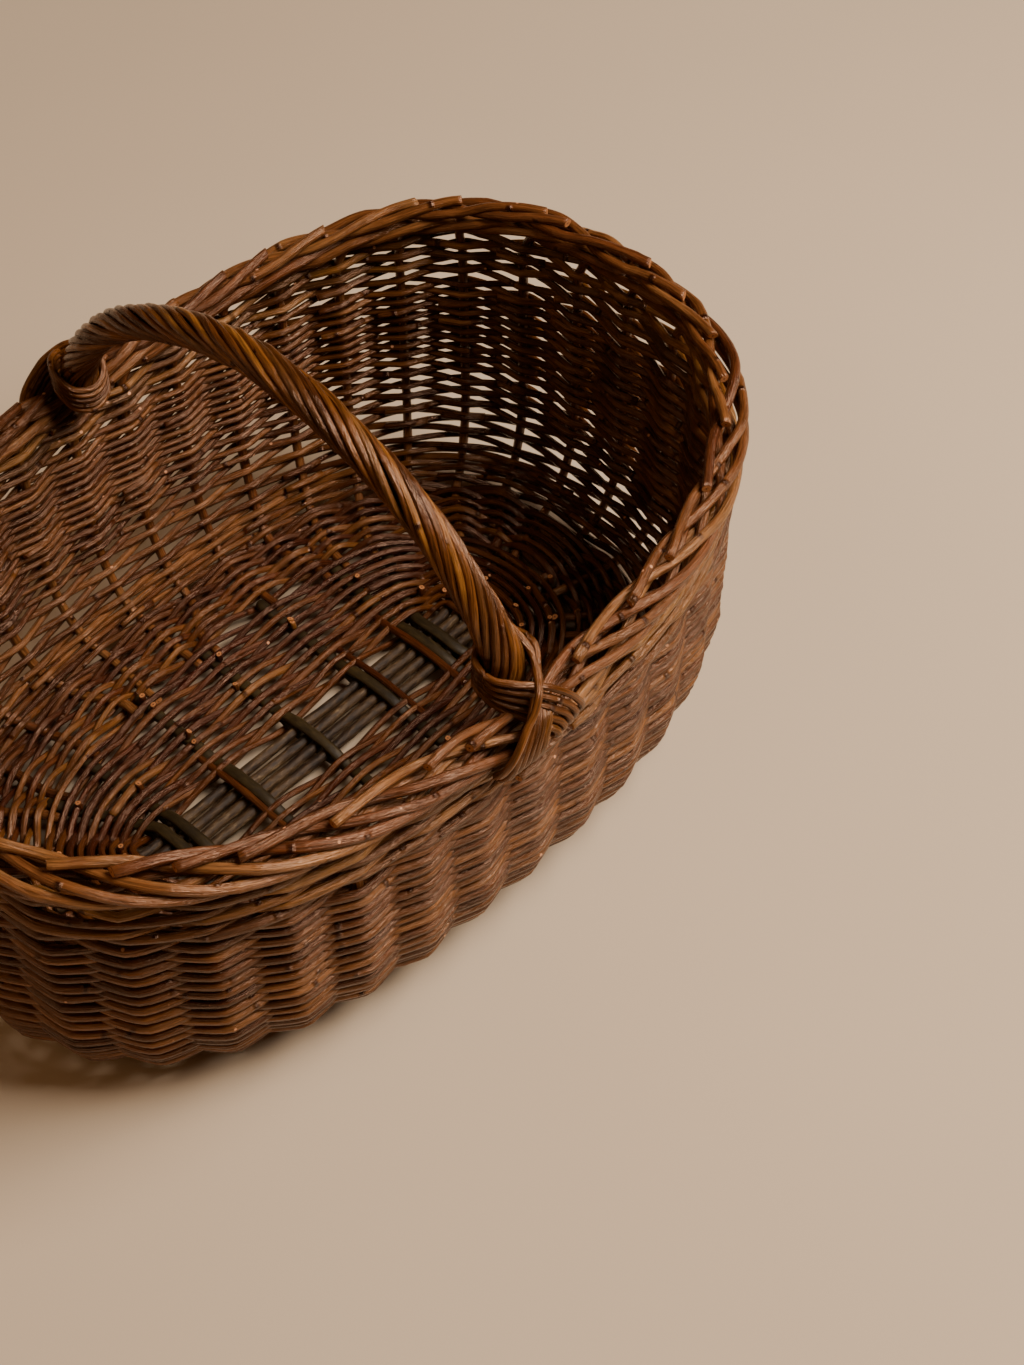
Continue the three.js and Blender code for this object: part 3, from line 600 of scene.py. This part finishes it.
# Side: rods woven in front of one stake and behind the next. On the near side the rounds are
# evenly spaced, and on the far side they are open low down and close higher up.
weave = {
    # heights up the side and radii after so many rounds, on the near side and on the far side
    "rounds": [0, 7, 12, 19.5, 28, 37, 38],
    "nearRuns": [1.5, 25, 41.5, 66.5, 94.7, 124.6, 128],
    "farRuns": [1.5, 25, 50, 80, 104, 128.5, 131.5],
    "nearRadius": [2.1, 2.3, 2.4, 2.42, 2.42, 2.42, 2.4],
    "farRadius": [1.9, 1.95, 1.9, 1.8, 1.7, 1.75, 1.8],
    "farSharpness": 0.9, "split": 17,     # the round where the upper weaving starts
    # how far a rod swings out and in, and how blunt its turns are
    "depth": 4.5, "peak": 0.985,
    # each rod's length in pairs of stakes, its thickness, how it tapers and how it strays up
    # and down and in and out
    "rodLength": (5, 8), "size": (0.9, 1.12), "taper": 0.14, "jitter": 0.32, "waver": 0.18,
    # a rod starts before its first stake, and its tip goes on and in, to lie inside the next
    "rootLap": 0.35, "tipLap": 0.4, "tipTuck": 3.4, "tuckLength": 0.6, "pointsPerStake": 9,
}


def farShare(position):                   # 0 on the near side and 1 on the far side
    return np.clip(0.5 + weave["farSharpness"] * np.sin(angleAt(position)), 0, 1)


def byRound(position, nearKey, farKey):
    level, share = position / stakeCount, farShare(position)
    return ((1 - share) * np.interp(level, weave["rounds"], weave[nearKey])
            + share * np.interp(level, weave["rounds"], weave[farKey]))


# One weaving rod, from one count of stakes to another
def weaveRod(rods, first, last, runAt, swingAt, radiusAt, jitter):
    perStake = weave["pointsPerStake"]
    count = max(int((last - first) * perStake), 8)
    position = np.linspace(first, last, count)
    run = runAt(position) + wander(count, jitter, perStake)
    out = wallOut(position, run)
    tuck = weave["tipTuck"] * np.clip(1 - (last - position) / weave["tuckLength"], 0, 1)
    swing = swingAt(position) - tuck + wander(count, weave["waver"], perStake)
    addRod(rods, wallPoint(position, run) + out * swing[:, None], radiusAt(position), out, 8)


def sideRun(position):
    return byRound(position, "nearRuns", "farRuns")


def sideSwing(position):                  # outside the even stakes and inside the odd ones
    turn = np.arcsin(weave["peak"] * np.cos(math.pi * position))
    return weave["depth"] * turn / math.asin(weave["peak"])


def sideRadius(position, first, last):
    along = (position - first) / (last - first + weave["tipLap"])
    return byRound(position, "nearRadius", "farRadius") * (1 + weave["taper"] * (0.5 - along))


for name, start, end, node in (("lowerWeaving", 0, weave["split"], "lower_weaver"),
                               ("upperWeaving", weave["split"], weave["rounds"][-1], "upper_weaver")):
    sideRods = newRods()
    # the rods are joined at odd stakes, on the inner side
    first, total = start * stakeCount + (start + 1) % 2, end * stakeCount
    while first < total:
        last = min(first + 2 * int(rng.integers(*weave["rodLength"])), total)
        size = rng.uniform(*weave["size"])
        weaveRod(sideRods, first - weave["rootLap"], last + weave["tipLap"], sideRun, sideSwing,
                 lambda p: size * sideRadius(p, first, last), weave["jitter"])
        first = last
    finishRods(name, sideRods, sideWillow, cutWillow, [node])

# Top waling: a stouter weave. In the middle of the near side each rod passes in front of two
# stakes and behind the third, and elsewhere in front of one and behind the next.
wale = {
    "rounds": 7, "start": -10,            # its seam is behind the near foot of the handle
    "nearRun": 130.2, "nearPitch": 3.55, "farRun": 133.6, "farPitch": 3.5,
    "radius": 2.25, "size": (0.9, 1.1), "outside": 4.8, "inside": -4.4, "climb": 0.3,
    "rodLength": (6, 11), "lap": 0.4, "jitter": 0.3,
    "rootSize": 1.07, "taper": 0.16, "farThinner": 0.05, "farFrom": 0.02,
}


def waleSwing(p):
    def atStake(stake):
        threes = np.where(stake % 3 == 0, wale["inside"], wale["outside"])
        return np.where(farShare(stake) > wale["farFrom"], sideSwing(stake), threes)
    low = np.floor(p)
    return atStake(low) + (p - low) * (atStake(low + 1) - atStake(low))


def waleRun(p):                           # each stroke rises a little from its start to its end
    near = wale["nearRun"] + wale["nearPitch"] * p / stakeCount
    far = wale["farRun"] + wale["farPitch"] * p / stakeCount
    climb = np.interp(p % 3, [0, 0.4, 2.6, 3], [0, -wale["climb"], wale["climb"], 0])
    return near + (far - near) * farShare(p) + climb * wale["nearPitch"]


def waleRadius(p, first, last):
    along = (p - first) / (last - first)
    return (wale["rootSize"] - wale["taper"] * along) * (1 - wale["farThinner"] * farShare(p))


waleRods = newRods()
first, total = wale["start"], wale["start"] + wale["rounds"] * stakeCount
while first < total:
    last = min(first + 3 * int(rng.integers(*wale["rodLength"])), total)
    size = wale["radius"] * rng.uniform(*wale["size"])
    weaveRod(waleRods, first - wale["lap"], last + wale["lap"], waleRun, waleSwing,
             lambda p: size * waleRadius(p, first, last), wale["jitter"])
    first = last
finishRods("topWaling", waleRods, waleWillow, cutWillow, ["top_wale"])

# Floor weaving: over one spoke and under the next, then over one stake and under the next
floor = {
    "innerRounds": 18, "edgeRounds": 10, "spokeLift": 4.6, "stakeLift": 4.1, "step": 3.2,
    # thickness of the rods, from root to tip, and how far they stray
    "radius": 1.9, "size": (0.88, 1.14), "taper": (1.08, 0.88), "drift": 0.28,
    "firstRound": 0.7, "lastInset": 2,
    # ends of floor rods that turn up beside a spoke
    "turnedUpEnds": 34, "endRadius": (1.4, 2.0), "endLength": 4.6, "endLean": 0.7, "endStray": 3,
}
floorRods = newRods()


def floorRound(points, lifts):            # one round, of two or three rods
    ring = np.array(points, float)
    ring[:, 2] += lifts
    cuts = rng.integers(2, 4)
    ring = np.roll(ring, -rng.integers(0, len(ring)), axis=0)
    laps = np.vstack([ring, ring, ring])
    for part in range(cuts):
        start, end = (int(len(ring) * (1 + share / cuts)) for share in (part, part + 1))
        line = smoothLine(laps[start:end + 2], floor["step"])
        drift = np.stack([wander(len(line), floor["drift"], 7) for _ in range(3)], -1)
        size = floor["radius"] * rng.uniform(*floor["size"])
        addRod(floorRods, line + drift, np.linspace(*floor["taper"], len(line)) * size, (0, 0, 1), 8)


for level in range(floor["innerRounds"]):
    share = (level + floor["firstRound"]) / (floor["innerRounds"] + 0.5)
    lifts = [floor["spokeLift"] * (-1) ** (group + level) for group in spokeGroups]
    floorRound([onSpoke(one, share * (one["reach"] - floor["lastInset"])) for one in spokes], lifts)
for level in range(floor["edgeRounds"]):
    share = (level + 0.5) / floor["edgeRounds"]
    lifts = [floor["stakeLift"] * (-1) ** (i + level) for i in range(stakeCount)]
    floorRound([tip + (foot - tip) * share for (_, tip), foot in zip(stakePlaces, stakeFeet)], lifts)
for stick, aside, size in slath["besideRods"]:
    stops = [acrossSlath(stick, y, rise) for y, rise in slath["besidePath"]]
    line = smoothLine(np.array(stops) + np.array([aside, 0, 0]), 3)
    addRod(floorRods, line, size, (0, 0, 1), 10)
for _ in range(floor["turnedUpEnds"]):
    one = spokes[rng.integers(0, len(spokes))]
    at = onSpoke(one, rng.uniform(0.1, 0.95) * one["reach"], 3.0)
    at = at + rng.normal(0, floor["endStray"], 3) * np.array([1, 1, 0])
    lean = rng.normal(0, floor["endLean"], 2)
    line = at + np.linspace(0, 1, 4)[:, None] * np.array([*lean, floor["endLength"]])
    addRod(floorRods, line, rng.uniform(*floor["endRadius"]), (1, 0, 0), 8)
finishRods("floorWeaving", floorRods, floorWillow, cutWillow,
           ["floor_weaver", "floor_edge_weaver"])

# Foot: a rope of thick rods below the turn of the stakes, which turns once in so many stakes
footRope = {
    "radius": 2.45, "strands": 3, "lay": 6.5, "level": 4.9, "halfWidth": 1.5, "halfHeight": 2.1,
    "outward": 0.5, "pressedFlat": 1.16,  # no strand's middle is lower than this, in radii
}
footRods = newRods()
for strand in range(footRope["strands"]):
    position = np.linspace(-0.5, stakeCount + 0.3, 420)
    turn = 2 * math.pi * (position / footRope["lay"] + strand / footRope["strands"])
    inset = basket["footInset"] + footRope["halfWidth"] * np.cos(turn) - footRope["outward"]
    height = footRope["level"] + footRope["halfHeight"] * np.sin(turn)
    line = ovalPoint(angleAt(position), inset, height)
    line[:, 2] = np.maximum(line[:, 2], footRope["pressedFlat"] * footRope["radius"])
    addRod(footRods, line, footRope["radius"], (0, 0, 1), 10)
finishRods("footRope", footRods, floorWillow, cutWillow, ["foot_round"])

# Handle: a bow stick with rods roped round it
handle = {
    "footInset": 14.9, "legDepth": 4, "bowRadius": 4.1,
    "rise": 110, "swell": 5.9, "archPower": 1.8, "archEnd": 0.22,
    "nearX": -4, "farX": -9,              # it stands a little askew
    "strands": 12, "pitch": 128, "ropeStart": 2, "ropeRadius": 6.8, "strandRadius": 1.85,
    # the strands spread towards the feet, less so at the far one
    "footRadius": 8.6, "footStrand": 2.2, "spread": 60, "spreadPower": 1.5, "farSpread": 0.45,
    "strandSize": (0.88, 1.1),
}
footY = basket["halfWidth"] - handle["footInset"]


def handleX(y):
    return np.interp(y, [-footY, footY], [handle["nearX"], handle["farX"]])


def archPoint(angle):
    across, up = (math.copysign(abs(v) ** (2 / handle["archPower"]), v)
                  for v in (math.cos(angle), math.sin(angle)))
    return [0, (footY + handle["swell"]) * across, basket["borderHeight"] + handle["rise"] * up]


def legPoints(sign):
    return [[0, sign * footY, basket["borderHeight"] - drop] for drop in (handle["legDepth"], 0)]


arch = [archPoint(a) for a in np.linspace(handle["archEnd"], math.pi - handle["archEnd"], 13)]
bowLine = smoothLine(legPoints(1) + arch + legPoints(-1)[::-1], 2.0)
bowLine[:, 0] = handleX(bowLine[:, 1])
bowRods = newRods()
bowRadius = handle["bowRadius"] * (0.97 + wander(len(bowLine), 0.015, 6))
addRod(bowRods, bowLine, bowRadius, (1, 0, 0), 16)
finishRods("handleBow", bowRods, oliveBark, cutBark, ["handle_bow"])

above = np.where(bowLine[:, 2] > basket["borderHeight"] + handle["ropeStart"])[0]
ropeLine = bowLine[above[0]:above[-1] + 1]
ropeTravel = np.gradient(ropeLine, axis=0)
ropeTravel /= np.linalg.norm(ropeTravel, axis=1, keepdims=True)
ropeOut = np.tile([1.0, 0, 0], (len(ropeLine), 1))
ropeSide = np.cross(ropeTravel, ropeOut)
ropeRuns = pathRuns(ropeLine)
fromFoot = np.minimum(ropeRuns, ropeRuns[-1] - ropeRuns)
spread = np.clip(1 - fromFoot / handle["spread"], 0, 1) ** handle["spreadPower"]
spread *= np.where(ropeLine[:, 1] > 0, handle["farSpread"], 1)
strandRods = newRods()
for strand in range(handle["strands"]):
    turn = 2 * math.pi * (ropeRuns / handle["pitch"] + strand / handle["strands"])
    turn = turn + wander(len(ropeLine), 0.06, 12)
    out = ropeOut * np.cos(turn)[:, None] + ropeSide * np.sin(turn)[:, None]
    reach = handle["ropeRadius"] + (handle["footRadius"] - handle["ropeRadius"]) * spread
    reach = reach + wander(len(ropeLine), 0.3, 8)
    radius = handle["strandRadius"] + (handle["footStrand"] - handle["strandRadius"]) * spread
    radius = radius * rng.uniform(*handle["strandSize"])
    addRod(strandRods, ropeLine + out * reach[:, None], radius, out, 12)
finishRods("handleStrands", strandRods, handleWillow, cutWillow,
           ["handle_rope_1", "handle_rope_2", "handle_rope_3"])

# Bindings: a band of rods sags round the inner side of each foot of the handle. Its two ends
# cross outside the foot, go over the border and are tucked in below it.
binding = {
    "rods": 5, "radius": 1.75, "size": (0.92, 1.08),
    # along the border, outward from the border's centre line and up from the border, then
    # the step from one rod to the next: the lower end first, and the upper end last
    "near": [[-17, 9, -20, -4.4, 0, 0.3], [-16, 14.8, -12, -4.6, 0, 0.3],
             [-12.5, 16, -1, -4.2, 0, 0], [-5.5, 12.5, 5.5, -3.4, 0, 0.2],
             [1.5, 6.5, 10, -2.0, 0.3, 1.6], [7.5, 0.5, 17, -0.8, 0.5, 2.8],
             [13, -8, 21, 0, 0, 3.4], [11, -20, 21, 0, 0, 3.5], [0, -24.5, 20, 0, 0, 3.6],
             [-11, -20, 18, 0, 0, 3.7], [-13, -9, 16, 0, 0, 3.9], [-8, -0.5, 13, 0.4, 0, 4.6],
             [-1, 7.5, 10, 1.6, 0, 4.6], [4, 12.5, 6.5, 2.3, -0.3, 4.0],
             [9, 15.8, 1.0, 3.3, 0, 2.4], [11, 16.6, -4, 3.75, 0, 1.4],
             [11, 14, -8, 3.75, 0, 1.0], [10.6, 8.5, -9, 3.7, 0, 0.8]],
    "far": [[-22, 5, -13, -1.6, 1.0, 0.8], [-18, 9.5, -4, -1.4, 1.0, 1.8],
            [-10, 9.5, 6, -1.0, 0.9, 2.2], [-1, 7, 14, -0.8, 0.8, 2.4],
            [7, 1, 19, 0, 0.6, 2.8], [11.8, -8, 19, 0, 0, 3.1], [9.8, -19, 12.5, 0, 0, 3.1],
            [0, -23.4, 9.5, 0, 0, 3.1], [-9.8, -19, 11.5, 0, 0, 3.2],
            [-11.8, -9, 17.5, 0, 0, 3.2], [-7, 0, 18, 0, 0, 3.0], [1, 6, 15, 1.0, 0.2, 2.6],
            [8, 10, 7, 2.2, 0.4, 1.6], [10.5, 12.5, -2, 2.7, 0.4, 0.8],
            [9, 10, -10, 2.6, 0.4, 0.3]],
    # one strand of the near foot leaves the rope and goes over the crossing
    "leader": [[7, -22, 38], [9.5, -13, 31], [9, -5, 26], [4, 3, 22.5], [-3, 10.5, 20.5],
               [-9, 13.5, 15.5], [-14, 14.5, 12], [-20, 16, 6.5], [-25.5, 16.5, 0.5],
               [-29, 14, -7], [-29, 9, -14]],
}
for name, sign, place, node in (("nearBinding", -1, "near", "near_binding"),
                                ("farBinding", 1, "far", "far_binding")):
    bindingRods = newRods()
    rows = np.array(binding[place], float)
    middle = (binding["rods"] - 1) / 2
    paths = [rows[:, :3] + (k - middle) * rows[:, 3:] for k in range(binding["rods"])]
    if place == "near":
        paths.append(np.array(binding["leader"], float))
    for x, outward, upward in (path.T for path in paths):
        points = np.stack([x + handle[place + "X"], sign * (basket["halfWidth"] + outward),
                           basket["borderHeight"] + upward], -1)
        radius = binding["radius"] * rng.uniform(*binding["size"])
        addRod(bindingRods, smoothLine(points, 2.0), radius, (0.05, -sign, 0.1), 10)
    finishRods(name, bindingRods, handleWillow, cutWillow, [node])

# Studio, in metres: pale seamless paper, soft light from the right and a little from the
# left, and the photograph's camera
studio = {
    "floorSize": 8, "floorColour": "#D2BEA3", "worldColour": "#E2A66A", "worldStrength": 0.045,
    # each light: how far right, ahead and up as the camera looks, then size, watts, colour
    "keyLight": (1.25, 0, 1.75, 1.15, 72, "#FFEFE0"),
    "fillLight": (-1.3, -0.6, 1.3, 1.6, 5.5, "#FFCB98"),
    "aimHeight": 0.1,
    "cameraAt": (-0.441, -0.5526, 0.911), "yaw": 46.98, "pitch": 50.86, "roll": -0.2,
    "sensor": 36, "focal": 36 * 2158 / 1024,   # 2158 pixels in an image 1024 wide
}


# Seamless paper: matt and evenly pale, with a tooth drawn 1 mm apart, coarser than the real
# one, that is barely seen, and cloudy by 2% over 300 mm
def seamlessPaper(name):
    material, tree = startMaterial(name)
    where = addNode(tree, "ShaderNodeTexCoord")
    tooth = addNode(tree, "ShaderNodeTexNoise", {"Scale": 900, "Detail": 3},
                    {"Vector": (where, "Object")})
    clouds = addNode(tree, "ShaderNodeTexNoise", {"Scale": 3, "Detail": 2},
                     {"Vector": (where, "Object")})
    shade = addNode(tree, "ShaderNodeMapRange",
                    {"From Min": 0.3, "From Max": 0.7, "To Min": 0.98, "To Max": 1.02},
                    {"Value": (clouds, 0)})
    colour = addNode(tree, "ShaderNodeMix", {"data_type": "RGBA", "blend_type": "MULTIPLY", 0: 1.0,
                                             6: linearColour(studio["floorColour"])}, {7: (shade, 0)})
    relief = addNode(tree, "ShaderNodeBump", {"Strength": 0.15, "Distance": 0.0002},
                     {"Height": (tooth, 0)})
    skin = addNode(tree, "ShaderNodeBsdfPrincipled", {"IOR": 1.45, "Roughness": 0.85},
                   {"Base Color": (colour, 2), "Normal": (relief, 0)})
    addNode(tree, "ShaderNodeOutputMaterial", links={"Surface": (skin, 0)})
    return material


bpy.ops.object.select_all(action="DESELECT")
bpy.ops.mesh.primitive_plane_add(size=studio["floorSize"], location=(0, 0, 0))
paper = bpy.context.object
paper.name = "studioFloor"
paper.data.materials.append(seamlessPaper("seamlessPaper"))

world = bpy.data.worlds.new("studioLight")
bpy.context.scene.world = world
world.use_nodes = True
background = world.node_tree.nodes["Background"]
background.inputs["Color"].default_value = linearColour(studio["worldColour"])
background.inputs["Strength"].default_value = studio["worldStrength"]

yaw, pitch, roll = (math.radians(studio[key]) for key in ("yaw", "pitch", "roll"))
right = Vector((math.cos(yaw), -math.sin(yaw), 0))
ahead = Vector((math.sin(yaw), math.cos(yaw), 0))
for name in ("keyLight", "fillLight"):
    aside, forward, up, size, power, colour = studio[name]
    place = aside * right + forward * ahead + Vector((0, 0, up))
    bpy.ops.object.light_add(type="AREA", location=place)
    lamp = bpy.context.object
    lamp.name = name
    lamp.data.shape = "SQUARE"
    lamp.data.size = size
    lamp.data.energy = power
    lamp.data.color = linearColour(colour)[:3]
    aim = Vector((0, 0, studio["aimHeight"])) - place
    lamp.rotation_euler = aim.to_track_quat("-Z", "Y").to_euler()

bpy.ops.object.camera_add(location=studio["cameraAt"])
eye = bpy.context.object
eye.name = "photoCamera"
eye.data.sensor_fit = "HORIZONTAL"
eye.data.sensor_width = studio["sensor"]
eye.data.lens = studio["focal"]
tilt = Euler((math.pi / 2 - pitch, 0, -yaw)).to_matrix() @ Matrix.Rotation(roll, 3, "Z")
eye.rotation_euler = tilt.to_euler()
bpy.context.scene.camera = eye
print("studio ready")
